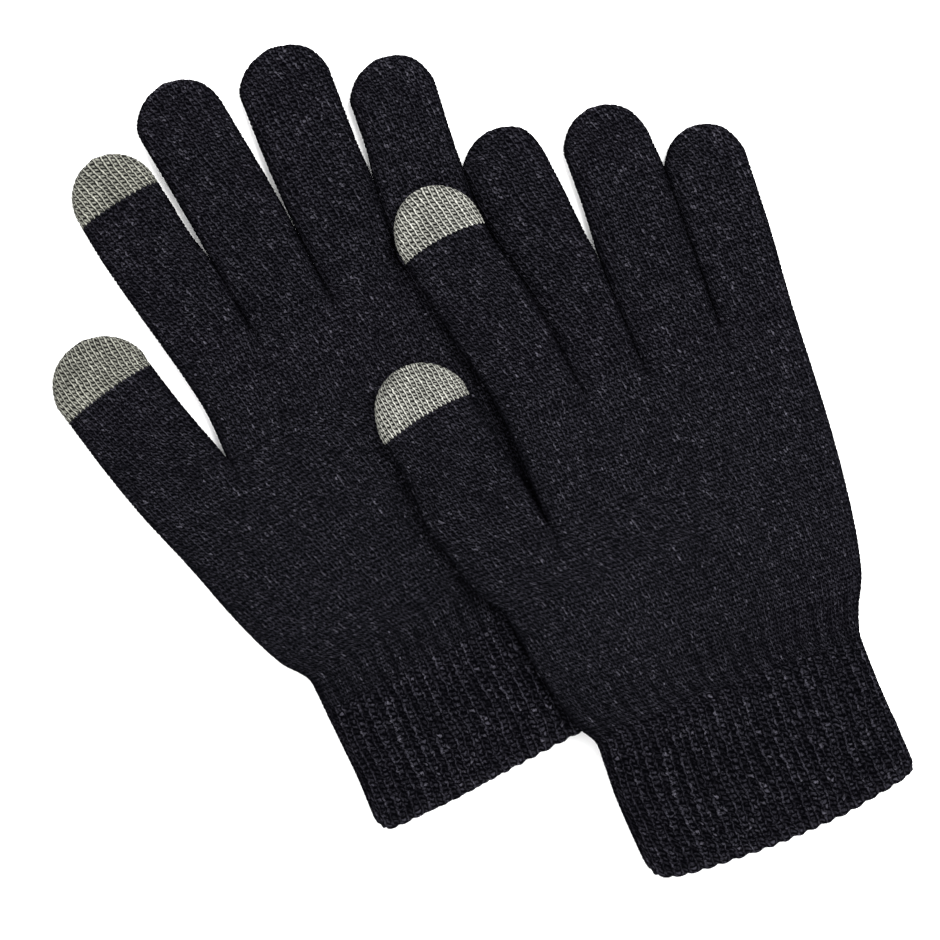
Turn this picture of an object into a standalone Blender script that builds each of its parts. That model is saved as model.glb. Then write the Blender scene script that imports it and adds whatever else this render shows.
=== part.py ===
"""A pair of knitted touchscreen gloves lying flat, one glove partly on top of the other.

Each glove is made of the flat-lying tubes that a knitting machine makes it from: a ribbed cuff with
an overlocked hem and three elastic threads, a lower palm for all five digits, an upper palm for four
fingers, and two tubes for each digit, split at the knuckle. Thumb and index finger end in a cap of
conductive yarn. Every digit lifts about the fold where its tube starts and about its knuckle, and
the upper glove lifts off the lower one.

+X runs from the thumbs to the little fingers, +Y along the fingers and +Z up from the table. The
origin is the middle of the pair's outline, on the table. Lengths are millimetres until the mesh.
"""

import math
from dataclasses import dataclass
from typing import NamedTuple

import bmesh
import bpy

MM = 0.001

# The fabric, and the play between pieces.
TUBE_HEIGHT = 8.0
WALL = 1.6
SEAM_GAP = 0.4
LAYER_GAP = 0.3
SIDE_FACETS = 4
PLAIN_STEPS = 1

# The upper glove comes down off the lower glove over this width beside it, and over this length
# below its hem, so its sheet is cut into this many steps.
DRAPE_WIDTH = 24.0
DRAPE_FROM_Y = -88.0
DRAPE_TO_Y = -112.0
DRAPE_STEPS = 12

# Elastic threads lie in grooves on the inside of the cuff.
GROOVE_WIDTH = 1.4
GROOVE_DEPTH = 1.0
THREAD_WIDTH = 0.8
THREAD_INSET = (0.85, 1.35)
THREAD_SPACING = 6.0
THREAD_COUNT = 3
HEM_LENGTH = 2.6
LAST_THREAD_TO_HEM = 4.0

# A fingertip is a dome of this many steps, and it thins towards its end.
DOME_STEPS = 4
DOME_LAST_ANGLE = math.radians(76)
DOME_THINNING = 0.35

# Middle of the pair's outline, in the coordinates that the outlines below are drawn in.
CENTRE = (-0.05, 1.9225)

BLACK_YARN = ("black_knit", (0.010, 0.010, 0.013), 0.95)
PALE_GREY_YARN = ("pale_grey_knit", (0.42, 0.42, 0.38), 0.85)
DARK_GREY_YARN = ("dark_grey_knit", (0.20, 0.21, 0.19), 0.85)
HEM_YARN = ("hem_thread", (0.014, 0.014, 0.018), 0.9)
ELASTIC = ("elastic_thread", (0.03, 0.03, 0.03), 0.7)


class Line(NamedTuple):
    """A straight line across a glove, y = y0 + slope * x, where a tube starts or ends."""

    y0: float
    slope: float

    def moved(self, by):
        """The parallel line this far along +Y."""
        return Line(self.y0 + by, self.slope)

    def towards(self, other, share):
        """The line this share of the way to another."""
        return Line(
            self.y0 + (other.y0 - self.y0) * share,
            self.slope + (other.slope - self.slope) * share,
        )


class Rung(NamedTuple):
    """One cross-section of a tube: its two side edges, its height and its share of the hem's curve."""

    left: tuple
    right: tuple
    height: float = TUBE_HEIGHT
    hem_share: float = 0.0


@dataclass
class Digit:
    """A thumb or finger: its side edges from root to tip, its tip, and where its knuckle lies."""

    name: str
    left: list
    right: list
    tip: tuple
    knuckle: float
    cap_line: Line | None = None
    pinned_root: bool = False


@dataclass
class Glove:
    """One glove: the outlines of its cuff and palm, the lines that divide it, and its digits."""

    name: str
    left: list
    palm_left: list
    right: list
    hem: Line
    wrist: Line
    crotch: Line
    fork: Line
    hem_curve: list
    thumb: Digit
    fingers: list
    cap_yarn: tuple
    steps: int
    raised_digits: tuple = ()


LOWER_GLOVE = Glove(
    name="under",
    left=[(-63.1, -90.5), (-63.7, -77.4), (-64.7, -67.2), (-66.2, -55.0), (-67.6, -44.5), (-74.4, -35.8),
          (-82.7, -19.6), (-90.2, -0.1), (-100.2, 24.0)],
    palm_left=[(-68.0, 28.0), (-69.4, 43.4), (-70.8, 49.9), (-73.6, 60.5)],
    right=[(24.0, -79.2), (22.5, -62.0), (19.8, -43.0), (24.0, -25.0), (27.0, -8.0), (28.4, 15.0),
           (29.2, 41.0), (29.5, 73.5)],
    hem=Line(-82.3, 0.13),
    wrist=Line(-45.6, 0.13),
    crotch=Line(37.2, 0.13),
    fork=Line(69.8, 0.13),
    hem_curve=[(0.0, 0.0), (0.04, -4.4), (0.35, -6.0), (0.7, -5.0), (0.96, -4.2), (1.0, 0.0)],
    thumb=Digit(
        "thumb",
        left=[(-100.2, 24.0), (-105.7, 40.0), (-110.1, 54.5), (-112.9, 61.0)],
        right=[(-69.2, 28.2), (-72.8, 39.2), (-79.2, 56.2), (-81.5, 65.6)],
        tip=(-97.0, 77.3),
        knuckle=22.0,
        cap_line=Line(87.0, 0.287),
    ),
    fingers=[
        Digit(
            "index",
            left=[(-73.6, 60.5), (-79.2, 80.7), (-84.8, 102.1), (-86.8, 117.0)],
            right=[(-48.7, 63.5), (-53.2, 89.4), (-57.8, 107.2), (-60.8, 118.5)],
            tip=(-76.1, 128.7),
            knuckle=36.0,
            cap_line=Line(129.0, 0.223),
        ),
        Digit(
            "middle",
            left=[(-48.0, 63.6), (-52.4, 89.4), (-58.3, 120.5), (-60.0, 130.0)],
            right=[(-22.8, 66.9), (-26.4, 96.5), (-31.2, 122.6), (-32.7, 131.0)],
            tip=(-45.5, 143.0),
            knuckle=36.0,
        ),
        Digit(
            "ring",
            left=[(-22.1, 67.0), (-25.6, 97.0), (-26.8, 128.0)],
            right=[(1.2, 70.0), (1.6, 96.0), (1.7, 126.0)],
            tip=(-14.4, 142.1),
            knuckle=36.0,
        ),
        Digit(
            "little",
            left=[(2.1, 70.1), (3.7, 92.0), (5.0, 118.0)],
            right=[(29.5, 73.6), (30.0, 100.0), (30.5, 115.0)],
            tip=(16.7, 127.7),
            knuckle=25.0,
            pinned_root=True,
        ),
    ],
    cap_yarn=DARK_GREY_YARN,
    steps=PLAIN_STEPS,
)

UPPER_GLOVE = Glove(
    name="over",
    left=[(9.4, -130.3), (8.0, -106.0), (8.0, -92.0), (3.6, -83.8), (-1.5, -64.7), (-5.5, -44.0),
          (-10.5, -37.0), (-14.6, -24.0)],
    palm_left=[(17.4, -24.0), (14.6, 12.6)],
    right=[(96.2, -130.3), (95.5, -110.1), (94.8, -90.0), (96.9, -80.2), (101.7, -70.2), (105.7, -50.3),
           (108.2, -24.0), (109.9, 16.0)],
    hem=Line(-130.3, 0.0),
    wrist=Line(-88.3, 0.0),
    crotch=Line(-24.0, 0.0),
    fork=Line(12.1, 0.035),
    hem_curve=[(0.0, 0.0), (0.03, -5.0), (0.12, -7.5), (0.45, -9.1), (0.7, -7.6), (0.93, -3.7),
               (0.98, -2.4), (1.0, 0.0)],
    thumb=Digit(
        "thumb",
        left=[(-14.6, -24.0), (-18.4, -12.0), (-18.7, 4.0), (-20.3, 15.8), (-22.3, 24.5)],
        right=[(16.0, -24.0), (14.5, -14.8), (9.7, 13.9), (6.2, 28.0)],
        tip=(-8.0, 37.3),
        knuckle=30.0,
        cap_line=Line(20.4, 0.203),
    ),
    fingers=[
        Digit(
            "index",
            left=[(14.6, 12.6), (9.2, 37.8), (4.9, 59.8), (2.8, 71.3)],
            right=[(39.2, 13.5), (33.7, 46.4), (29.8, 68.4), (29.4, 74.8)],
            tip=(16.9, 85.5),
            knuckle=38.0,
            cap_line=Line(65.5, 0.139),
        ),
        Digit(
            "middle",
            left=[(40.9, 13.5), (35.5, 45.0), (31.2, 66.0), (30.9, 84.0)],
            right=[(60.2, 14.2), (58.5, 52.2), (55.6, 77.0), (54.3, 85.0)],
            tip=(42.0, 95.2),
            knuckle=38.0,
        ),
        Digit(
            "ring",
            left=[(60.9, 14.2), (59.9, 48.5), (60.9, 80.0)],
            right=[(86.6, 15.1), (87.0, 45.0), (86.7, 79.0)],
            tip=(72.8, 91.2),
            knuckle=38.0,
        ),
        Digit(
            "little",
            left=[(87.3, 15.2), (87.7, 45.0), (87.9, 65.0)],
            right=[(109.9, 16.0), (111.6, 37.8), (112.8, 63.0)],
            tip=(99.6, 74.9),
            knuckle=28.0,
        ),
    ],
    cap_yarn=PALE_GREY_YARN,
    steps=DRAPE_STEPS,
    raised_digits=("thumb", "index"),
)


def interpolate(points, value, key=0):
    """The other coordinate where a polyline's coordinate number `key` has this value."""
    other = 1 - key
    for start, end in zip(points, points[1:]):
        if value <= end[key] or end is points[-1]:
            share = (value - start[key]) / (end[key] - start[key])
            return start[other] + (end[other] - start[other]) * share
    return points[0][other]


def meet(edge, line):
    """The point where a side edge crosses a line."""
    x = edge[0][0]
    for _ in range(6):
        x = interpolate(edge, line.y0 + line.slope * x, key=1)
    return x, line.y0 + line.slope * x


def rung_at(left, right, line, hem_share=0.0):
    """The cross-section where a line crosses both side edges."""
    return Rung(meet(left, line), meet(right, line), TUBE_HEIGHT, hem_share)


def rungs_between(left, right, start, end, count):
    """Cross-sections at even steps from one line to another, both included."""
    return [rung_at(left, right, start.towards(end, i / (count - 1))) for i in range(count)]


def smooth_step(share):
    """0 below 0, 1 above 1, and a smooth rise between."""
    share = min(max(share, 0.0), 1.0)
    return share * share * (3 - 2 * share)


def table(x, y):
    """How far a piece that lies on the table is raised: not at all."""
    return 0.0


def on_lower_glove(x, y):
    """How far a stiff piece on top of the lower glove is raised."""
    return TUBE_HEIGHT + LAYER_GAP


def draped(x, y):
    """How far the upper glove's sheet is raised where it comes down off the lower glove."""
    finger = LOWER_GLOVE.fingers[-1].right
    edge = interpolate(LOWER_GLOVE.right if y < finger[0][1] else finger, y, key=1)
    beside = 1 - smooth_step((x - edge) / DRAPE_WIDTH)
    below = smooth_step((y - DRAPE_TO_Y) / (DRAPE_FROM_Y - DRAPE_TO_Y))
    return (TUBE_HEIGHT + LAYER_GAP) * beside * below


def section(rung, inset, level, steps, hem_curve):
    """Points around one cross-section of a flat-lying tube, this far inside its outer surface."""
    width = math.dist(rung.left, rung.right)
    along = [(end - start) / width for start, end in zip(rung.left, rung.right)]
    radius = rung.height / 2 - inset
    first = inset + radius
    last = width - first
    profile = [(first + (last - first) * i / steps, -radius) for i in range(steps + 1)]
    for i in range(1, SIDE_FACETS):
        angle = math.pi * i / SIDE_FACETS
        profile.append((last + radius * math.sin(angle), -radius * math.cos(angle)))
    profile += [(across, radius) for across, _ in reversed(profile[: steps + 1])]
    for i in range(1, SIDE_FACETS):
        angle = math.pi * i / SIDE_FACETS
        profile.append((first - radius * math.sin(angle), radius * math.cos(angle)))
    points = []
    for across, up in profile:
        x = rung.left[0] + along[0] * across
        y = rung.left[1] + along[1] * across
        y += rung.hem_share * interpolate(hem_curve, across / width)
        points.append((x, y, rung.height / 2 + up + level(x, y)))
    return points


def bridge(bm, rings):
    """Quads from each ring of vertices to the next, facing away from the rings' middle."""
    for near, far in zip(rings, rings[1:]):
        for i in range(len(near)):
            bm.faces.new((near[i - 1], far[i - 1], far[i], near[i]))


def bridge_end(bm, skin_ring, lining_ring):
    """The wall's far end face. Its quads bend along the same diagonal as the near end's, so that two
    tubes that meet at a bent edge stay apart."""
    for i in range(len(skin_ring)):
        bm.faces.new((lining_ring[i - 1], lining_ring[i], skin_ring[i], skin_ring[i - 1]))


def new_material(finish):
    """The Principled material of a yarn, made once."""
    name, colour, roughness = finish
    material = bpy.data.materials.get(name)
    if material:
        return material
    material = bpy.data.materials.new(name)
    material.use_nodes = True
    shader = material.node_tree.nodes["Principled BSDF"]
    shader.inputs["Base Color"].default_value = (*colour, 1)
    shader.inputs["Roughness"].default_value = roughness
    shader.inputs["Metallic"].default_value = 0.0
    return material


def new_empty(name, place, parent=None):
    """A body's empty, on its joint's axis. Its place is in the outlines' coordinates."""
    empty = bpy.data.objects.new(name, None)
    empty.empty_display_size = 10 * MM
    bpy.context.scene.collection.objects.link(empty)
    spot = [(place[0] - CENTRE[0]) * MM, (place[1] - CENTRE[1]) * MM, place[2] * MM]
    empty["spot"] = spot
    empty.parent = parent
    empty.location = [a - b for a, b in zip(spot, parent["spot"] if parent else (0, 0, 0))]
    return empty


def tube(name, body, finish, outer, inner=None, level=table, steps=PLAIN_STEPS, hem_curve=((0, 0), (1, 0)),
         closed=False, outer_inset=0.0):
    """A flat-lying knitted tube through its cross-sections, open at both ends or domed at the last.

    `outer` lists the outer surface's rungs, and `inner` lists pairs of a rung and an inset. Without
    `inner`, the wall is even.
    """
    if inner is None:
        inner = [(rung, WALL) for rung in (outer[:-1] if closed else outer)]
    bm = bmesh.new()
    shift = [c * MM for c in (*CENTRE, 0)]
    origin = [a + b for a, b in zip(shift, body["spot"])]

    def ring(rung, inset):
        points = section(rung, inset, level, steps, hem_curve)
        return [bm.verts.new([c * MM - o for c, o in zip(point, origin)]) for point in points]

    skin = [ring(rung, outer_inset) for rung in outer]
    lining = [ring(rung, inset) for rung, inset in inner]
    bridge(bm, skin)
    bridge(bm, [*reversed(lining), skin[0]])
    if closed:
        bm.faces.new(reversed(skin[-1]))
        bm.faces.new(lining[-1])
    else:
        bridge_end(bm, skin[-1], lining[-1])
    mesh = bpy.data.meshes.new(name)
    bm.to_mesh(mesh)
    bm.free()
    mesh.shade_smooth()
    mesh.set_sharp_from_angle(angle=math.radians(50))
    mesh.materials.append(new_material(finish))
    item = bpy.data.objects.new(name, mesh)
    item.parent = body
    bpy.context.scene.collection.objects.link(item)
    return item


def dome_rungs(left, right, tip):
    """Cross-sections from a digit's last full one to its tip, narrowing and thinning in a dome."""
    middle = [(a + b) / 2 for a, b in zip(left, right)]
    half = [(b - a) / 2 for a, b in zip(left, right)]
    rungs = []
    for i in range(DOME_STEPS + 1):
        angle = DOME_LAST_ANGLE * i / DOME_STEPS
        reach = math.sin(angle) / math.sin(DOME_LAST_ANGLE)
        centre = [m + (t - m) * reach for m, t in zip(middle, tip)]
        side = [h * math.cos(angle) for h in half]
        height = TUBE_HEIGHT * (1 - DOME_THINNING * (1 - math.cos(angle)))
        ends = [tuple(c + sign * s for c, s in zip(centre, side)) for sign in (-1, 1)]
        rungs.append(Rung(ends[0], ends[1], height))
    return rungs


def hinge_spot(digit, line, level):
    """The middle of a hinge line, on the tube's top surface, where the fabric folds."""
    left = meet(digit.left, line)
    right = meet(digit.right, line)
    x, y = [(a + b) / 2 for a, b in zip(left, right)]
    return x, y, level(x, y) + TUBE_HEIGHT


def build_digit(glove, digit, root, hand):
    """A digit's base tube, end tube and, where it has one, its conductive cap."""
    name = f"{glove.name}_{digit.name}"
    level = on_lower_glove if digit.name in glove.raised_digits else table
    knuckle = root.moved(digit.knuckle)
    half_gap = SEAM_GAP / 2
    base_body = hand
    if not digit.pinned_root:
        base_body = new_empty(f"{name}_base_axis", hinge_spot(digit, root, level), hand)
    end_body = new_empty(f"{name}_end_axis", hinge_spot(digit, knuckle, level), base_body)

    def between(start, end, count):
        return rungs_between(digit.left, digit.right, start.moved(half_gap), end.moved(-half_gap), count)

    tube(f"{name}_base", base_body, BLACK_YARN, between(root, knuckle, 3), level=level)
    dome = dome_rungs(digit.left[-1], digit.right[-1], digit.tip)
    if digit.cap_line is None:
        start = rung_at(digit.left, digit.right, knuckle.moved(half_gap))
        tube(f"{name}_end", end_body, BLACK_YARN, [start, *dome], level=level, closed=True)
        return
    tube(f"{name}_end", end_body, BLACK_YARN, between(knuckle, digit.cap_line, 2), level=level)
    start = rung_at(digit.left, digit.right, digit.cap_line.moved(half_gap))
    tube(f"{name}_cap", end_body, glove.cap_yarn, [start, *dome], level=level, closed=True)


def cuff_rungs(glove, distances):
    """Cross-sections of the cuff at these distances from the hem's bottom edge."""
    length = glove.wrist.y0 - glove.hem.y0
    rungs = []
    for distance in distances:
        line = glove.hem.moved(distance)
        rungs.append(rung_at(glove.left, glove.right, line, 1 - smooth_step(distance / length)))
    return rungs


def thread_places():
    """Where the elastic threads run: the distance of each one's middle from the hem's bottom edge."""
    first = HEM_LENGTH + LAST_THREAD_TO_HEM
    return [first + i * THREAD_SPACING for i in range(THREAD_COUNT)]


def build_cuff(glove, hand, level):
    """The hem, the ribbed cuff with its inside grooves, and the elastic threads in them."""
    style = {"level": level, "steps": glove.steps, "hem_curve": glove.hem_curve}
    hem = cuff_rungs(glove, (0.0, HEM_LENGTH))
    tube(f"{glove.name}_cuff_hem", hand, HEM_YARN, hem, **style)

    length = glove.wrist.y0 - glove.hem.y0
    start = HEM_LENGTH + SEAM_GAP
    end = length - SEAM_GAP
    plain_from = thread_places()[-1] + THREAD_SPACING / 2
    plain = [plain_from + (end - plain_from) * i / 4 for i in range(5)]
    outer = cuff_rungs(glove, [start, *plain])
    inner = [(cuff_rungs(glove, [start])[0], WALL)]
    for place in thread_places():
        near, far = cuff_rungs(glove, (place - GROOVE_WIDTH / 2, place + GROOVE_WIDTH / 2))
        inner += [(near, WALL), (near, WALL - GROOVE_DEPTH), (far, WALL - GROOVE_DEPTH), (far, WALL)]
    inner += [(rung, WALL) for rung in cuff_rungs(glove, plain)]
    tube(f"{glove.name}_cuff_rib", hand, BLACK_YARN, outer, inner, **style)

    for number, place in enumerate(thread_places(), 1):
        ends = cuff_rungs(glove, (place - THREAD_WIDTH / 2, place + THREAD_WIDTH / 2))
        inside = [(rung, THREAD_INSET[1]) for rung in ends]
        name = f"{glove.name}_cuff_elastic_{number}"
        tube(name, hand, ELASTIC, ends, inside, outer_inset=THREAD_INSET[0], **style)


def build_palm(glove, hand, level):
    """The lower palm, up to the thumb's root, and the upper palm, up to the fingers' roots."""
    half_gap = SEAM_GAP / 2
    lower = rungs_between(glove.left, glove.right, glove.wrist, glove.crotch.moved(-half_gap), 7)
    tube(f"{glove.name}_palm_lower", hand, BLACK_YARN, lower, level=level, steps=glove.steps)
    start = glove.crotch.moved(half_gap)
    upper = rungs_between(glove.palm_left, glove.right, start, glove.fork.moved(-half_gap), 4)
    tube(f"{glove.name}_palm_upper", hand, BLACK_YARN, upper, level=level, steps=glove.steps)


def build_glove(glove, level, lift):
    """One whole glove, under an empty for its hand."""
    middle = rung_at(glove.palm_left, glove.right, glove.crotch)
    x, y = [(a + b) / 2 for a, b in zip(middle.left, middle.right)]
    hand = new_empty(f"{glove.name}_hand", (x, y, lift))
    build_cuff(glove, hand, level)
    build_palm(glove, hand, level)
    build_digit(glove, glove.thumb, glove.crotch, hand)
    for finger in glove.fingers:
        build_digit(glove, finger, glove.fork, hand)


def main():
    for item in list(bpy.data.objects):
        bpy.data.objects.remove(item, do_unlink=True)
    build_glove(LOWER_GLOVE, table, 0.0)
    build_glove(UPPER_GLOVE, draped, TUBE_HEIGHT + LAYER_GAP)


if __name__ == "__main__":
    main()
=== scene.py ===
"""A pair of knitted touchscreen gloves lying flat, the right one partly on top of the left one.

Every piece is a knitted tube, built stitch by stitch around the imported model's frame. The outlines
are drawn in millimetres: +X runs from the thumbs to the little fingers, +Y along the fingers and +Z
up from the table. Meshes are made in metres.
"""

import logging
import math
from dataclasses import dataclass, field, replace
from enum import Enum
from typing import NamedTuple

import bpy
import numpy as np
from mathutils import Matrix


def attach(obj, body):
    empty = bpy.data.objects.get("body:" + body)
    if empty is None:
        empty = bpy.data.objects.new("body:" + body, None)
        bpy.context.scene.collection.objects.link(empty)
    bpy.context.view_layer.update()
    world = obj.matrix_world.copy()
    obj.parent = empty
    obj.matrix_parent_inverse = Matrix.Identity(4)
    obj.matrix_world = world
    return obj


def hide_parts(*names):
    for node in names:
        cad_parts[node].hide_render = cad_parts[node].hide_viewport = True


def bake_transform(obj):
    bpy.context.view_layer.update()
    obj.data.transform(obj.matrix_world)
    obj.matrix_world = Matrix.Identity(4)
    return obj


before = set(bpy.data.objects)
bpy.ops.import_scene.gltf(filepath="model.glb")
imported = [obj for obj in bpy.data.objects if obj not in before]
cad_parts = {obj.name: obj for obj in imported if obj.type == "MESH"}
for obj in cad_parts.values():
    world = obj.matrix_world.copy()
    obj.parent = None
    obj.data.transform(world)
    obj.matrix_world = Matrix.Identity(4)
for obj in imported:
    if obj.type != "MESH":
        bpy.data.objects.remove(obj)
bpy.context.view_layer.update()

LOG = logging.getLogger("gloves")
MM = 0.001
STITCH_MAP = "Stitch"
# The mesh map of painted shade, from 0 to 1, in creases and in the furrows between ribs.
PAINTED_SHADE_MAP = "PaintedShade"

# Middle of the pair's outline, in the coordinates that the outlines below are drawn in.
DRAWN_MIDDLE = (-0.05, 1.9225)

# Steps after which a line's crossing with a curved edge no longer moves.
CROSSING_STEPS = 40


def smooth(share: np.ndarray | float) -> np.ndarray:
    """0 below 0, 1 above 1, and a smooth rise between.

    Args:
        share: one value or an array of them.

    Returns:
        The eased values.
    """
    share = np.clip(share, 0.0, 1.0)
    return share * share * (3 - 2 * share)


def falling(value: np.ndarray, fall: tuple[float, float]) -> np.ndarray:
    """1 up to the start of a fall and 0 from its end on.

    Args:
        value: one value for each place.
        fall: where the fall starts and ends.

    Returns:
        The eased values.
    """
    start, end = fall
    return 1 - smooth((value - start) / (end - start))


def linear(colour: str) -> tuple[float, float, float, float]:
    """Turns an sRGB hex colour into the linear values that a shader takes.

    Args:
        colour: six hex digits, with or without a leading #.

    Returns:
        Linear red, green and blue, with an alpha of 1.
    """
    digits = colour.lstrip("#")
    levels = [int(digits[i : i + 2], 16) / 255 for i in (0, 2, 4)]
    red, green, blue = (c / 12.92 if c <= 0.04045 else ((c + 0.055) / 1.055) ** 2.4 for c in levels)
    return red, green, blue, 1.0


class SmoothNoise:
    """Seeded noise that varies smoothly over a plane, from -1 to 1."""

    CELLS = 64

    def __init__(self, seed: int) -> None:
        """Draws the noise's grid from a seed."""
        self.grid = np.random.default_rng(seed).uniform(-1, 1, (self.CELLS, self.CELLS))

    def at(self, x: np.ndarray, y: np.ndarray, size: float) -> np.ndarray:
        """The noise at these points.

        Args:
            x: first coordinates.
            y: second coordinates, of the same shape.
            size: width of one swell, in the coordinates' unit.

        Returns:
            Values from -1 to 1.
        """
        column, row = np.floor(x / size), np.floor(y / size)
        across, along = smooth(x / size - column), smooth(y / size - row)
        column, row = column.astype(int) % self.CELLS, row.astype(int) % self.CELLS
        after, above = (column + 1) % self.CELLS, (row + 1) % self.CELLS
        low = self.grid[row, column] * (1 - across) + self.grid[row, after] * across
        high = self.grid[above, column] * (1 - across) + self.grid[above, after] * across
        return low * (1 - along) + high * along

    def swells(self, x: np.ndarray, y: np.ndarray, *parts: tuple[float, float]) -> np.ndarray:
        """The sum of several swells of the noise, each read from another place of its grid.

        Args:
            x: first coordinates.
            y: second coordinates, of the same shape.
            parts: depth and width of each swell.

        Returns:
            The sum at each point.
        """
        apart = 40
        return sum(depth * self.at(x + apart * i, y, size) for i, (depth, size) in enumerate(parts))


WALE_DRIFT = SmoothNoise(11)
COURSE_DRIFT = SmoothNoise(12)
STITCH_SIZE = SmoothNoise(13)
WRINKLES = SmoothNoise(14)


class Line(NamedTuple):
    """A straight line across a glove, y = y0 + slope * x, where a tube starts or ends."""

    y0: float
    slope: float

    def moved(self, by: float) -> "Line":
        """The parallel line this far along +Y."""
        return Line(self.y0 + by, self.slope)

    def normal(self) -> np.ndarray:
        """Unit vector across the line, towards the fingertips."""
        return np.array([-self.slope, 1.0]) / math.hypot(self.slope, 1.0)


class Edge:
    """A tube's side edge: a smooth curve through its design points, x as a function of y."""

    def __init__(self, *points: tuple[float, float]) -> None:
        """Takes the design points, from the cuff towards the fingertip."""
        drawn = np.array(points, float)
        self.x, self.y = drawn[:, 0], drawn[:, 1]
        step = np.diff(self.y)
        rise = np.diff(self.x) / step
        self.slopes = np.zeros(len(self.x))
        self.slopes[0], self.slopes[-1] = rise[0], rise[-1]
        for i in range(1, len(self.x) - 1):
            before, after = rise[i - 1], rise[i]
            if before * after > 0:
                one, two = 2 * step[i] + step[i - 1], step[i] + 2 * step[i - 1]
                self.slopes[i] = (one + two) / (one / before + two / after)

    @property
    def end(self) -> np.ndarray:
        """The last design point."""
        return np.array([self.x[-1], self.y[-1]])

    def at(self, y: np.ndarray) -> np.ndarray:
        """The edge's x where it passes these y.

        Args:
            y: heights along the glove.

        Returns:
            The x of each, on a straight line beyond the last points.
        """
        y = np.asarray(y, float)
        i = np.clip(np.searchsorted(self.y, y) - 1, 0, len(self.y) - 2)
        step = self.y[i + 1] - self.y[i]
        t = np.clip((y - self.y[i]) / step, 0, 1)
        curve = (
            (2 * t**3 - 3 * t**2 + 1) * self.x[i]
            + (t**3 - 2 * t**2 + t) * step * self.slopes[i]
            + (3 * t**2 - 2 * t**3) * self.x[i + 1]
            + (t**3 - t**2) * step * self.slopes[i + 1]
        )
        beyond = np.where(y > self.y[-1], (y - self.y[-1]) * self.slopes[-1], 0)
        before = np.where(y < self.y[0], (y - self.y[0]) * self.slopes[0], 0)
        return curve + beyond + before

    def meet(self, y0: np.ndarray, slope: np.ndarray) -> np.ndarray:
        """Where the edge crosses lines.

        Args:
            y0: the lines' heights at x = 0.
            slope: the lines' slopes.

        Returns:
            One point for each line.
        """
        y = np.asarray(y0, float) + 0 * np.asarray(slope)
        for _ in range(CROSSING_STEPS):
            y = y0 + slope * self.at(y)
        return np.stack([self.at(y), y], axis=-1)


class Detail(Enum):
    """How many mesh columns a wale gets above and below, and how many mesh rows a course gets."""

    CUFF = (9, 4, 4)
    WIDE = (4, 2, 3)
    FINE = (6, 3, 4)
    CAP = (8, 4, 6)


@dataclass(frozen=True)
class Gauge:
    """The knit's own sizes.

    course is a course's length and relief the height of a stitch's legs, in millimetres. skew is how
    many wales the stitches lean across for each course.
    """

    course: float = 1.45
    relief: float = 0.30
    skew: float = 0.13


@dataclass(frozen=True)
class Leg:
    """The two legs of a plain stitch, as shares of a wale across and of a course along.

    left and right are the legs' middles across the wale, and slant is how many courses the right one
    rises by. Each fall says how far from a leg's middle its height starts and ends to drop, and each
    tint the same for its colour. The right leg is short, so its length has its own. The left leg runs
    on from stitch to stitch, with a slight dip between.
    """

    left: float = 0.22
    right: float = 0.67
    slant: float = 0.75
    left_fall: tuple[float, float] = (0.04, 0.24)
    right_fall: tuple[float, float] = (0.1, 0.32)
    length_fall: tuple[float, float] = (0.14, 0.44)
    dip: float = 0.14
    left_tint: tuple[float, float] = (0.05, 0.2)
    right_tint: tuple[float, float] = (0.12, 0.32)
    length_tint: tuple[float, float] = (0.12, 0.4)
    dip_tint: float = 0.12


@dataclass(frozen=True)
class Sway:
    """How unevenly the stitches lie and vary in size: depth and width of each swell, in stitches."""

    wales: tuple[tuple[float, float], ...] = ((0.18, 5.0), (0.09, 1.4))
    courses: tuple[tuple[float, float], ...] = ((0.22, 4.0), (0.14, 1.3))
    stitch: tuple[float, float] = (0.3, 1.0)


@dataclass(frozen=True)
class Lay:
    """How a tube of soft knit lies: its height, the reach of its rounded sides, and its wall.

    middle is the share of the height at which the side edges lie, least the share that a crease
    between two fingers keeps, and wrinkle scales the broad and the fine wrinkles of the upper side,
    which are given by depth and width in millimetres. The fine ones are read this far from the
    broad ones in the noise, and the wrinkles fade out down the sides by a gain and a loss.
    """

    height: float = 7.7
    side: float = 6.5
    wall: float = 1.5
    middle: float = 0.45
    least: float = 0.04
    wrinkle: float = 1.0
    broad_wrinkle: tuple[float, float] = (0.45, 17.0)
    fine_wrinkle: tuple[float, float] = (0.2, 7.0)
    wrinkles_apart: tuple[float, float] = (300.0, 100.0)
    wrinkle_fade: tuple[float, float] = (1.6, 0.6)


@dataclass(frozen=True)
class Dome:
    """How a fingertip closes: its last row's angle, how it thins, and its rows for its length.

    From the share squared_by of its reach on, the rows lie square to the finger.
    """

    last_angle: float = math.radians(88)
    thinning: float = 0.42
    side_thinning: float = 0.2
    arc: float = 1.35
    squared_by: float = 0.7


@dataclass(frozen=True)
class Shade:
    """How much painted shade the yarn gets, from 0 to 1, in the creases and in the furrows between ribs.

    A crease's shade reaches up to a share of the fabric's height. A furrow's runs over a part of its
    depth and is full from a depth in millimetres on.
    """

    crease: float = 0.95
    crease_reach: float = 0.9
    furrow: float = 0.6
    furrow_start: float = 0.1
    furrow_run: float = 0.65
    full_depth: float = 0.3


GAUGE = Gauge()
LEG = Leg()
SWAY = Sway()
DOME = Dome()
SHADE = Shade()
FABRIC = Lay()
CUFF_FABRIC = Lay(height=8.25, side=4.4, wrinkle=0.0)

# The outlines run through the middle of the stitches' relief, so the skin starts this far out.
OUTSET = 0.25


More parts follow.
